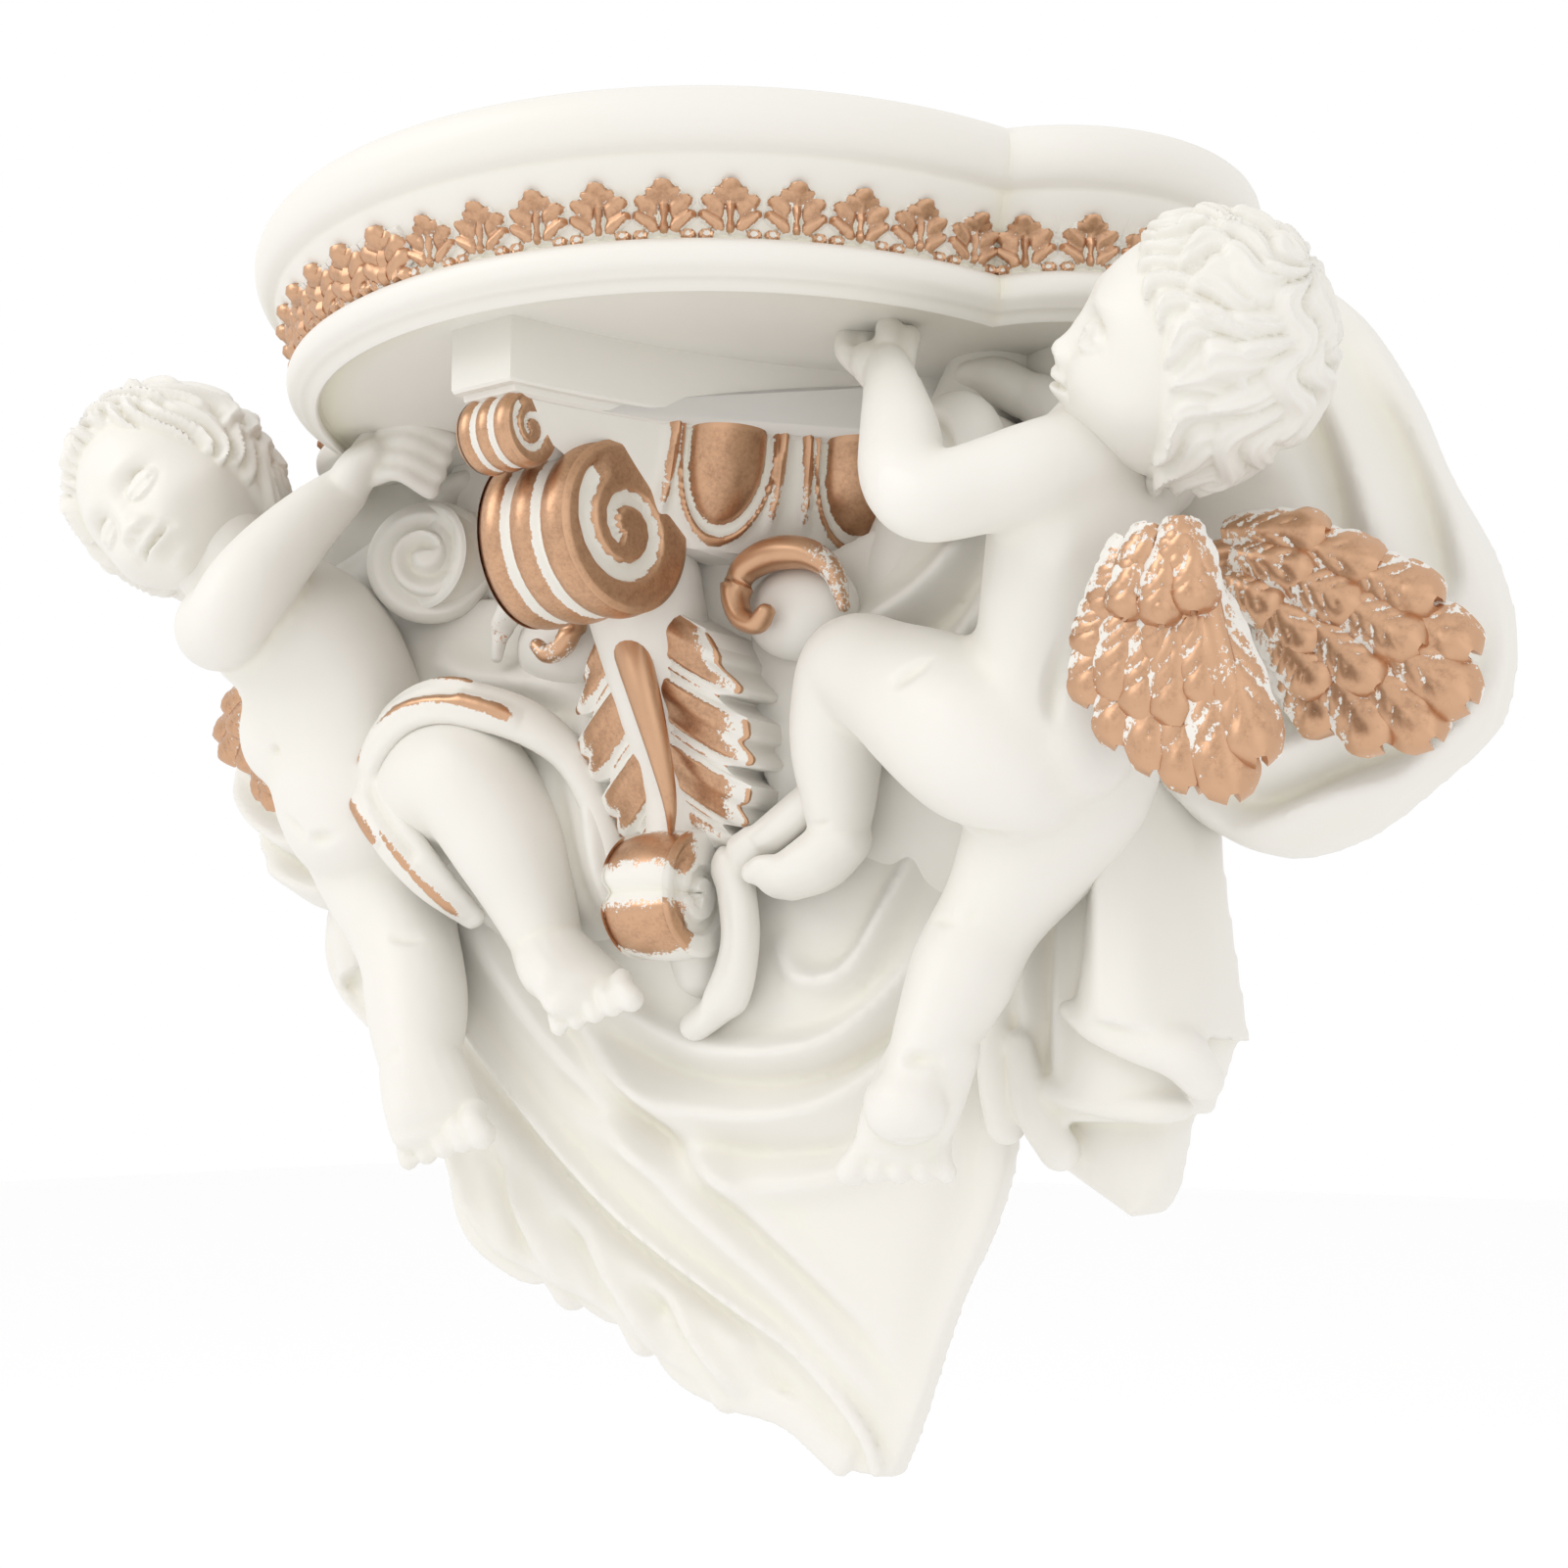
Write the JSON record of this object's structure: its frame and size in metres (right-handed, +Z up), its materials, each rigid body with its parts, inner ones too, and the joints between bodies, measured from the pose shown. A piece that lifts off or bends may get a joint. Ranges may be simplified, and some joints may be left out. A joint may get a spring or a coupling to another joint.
{
  "type": "figure corbel",
  "caption": "Wall shelf corbel: lobed moulded shelf on a scrolled bracket, with winged cherubs climbing both sides and falling drapery.",
  "frame": {"origin": "on the flat back at the wall, on the centre line, 73 mm below the shelf's top and 300 mm above the drapery's tip", "axes": "+X to the right along the wall seen from the front, +Y into the wall, +Z up"},
  "size_m": [0.4861, 0.1727, 0.373],
  "materials": {
    "painted_resin": "satin ivory paint on cast resin, dry-brushed rose gold on the carved ornament"
  },
  "bodies": {
    "root": {"angel_corbel": "painted_resin"}
  },
  "joints": []
}
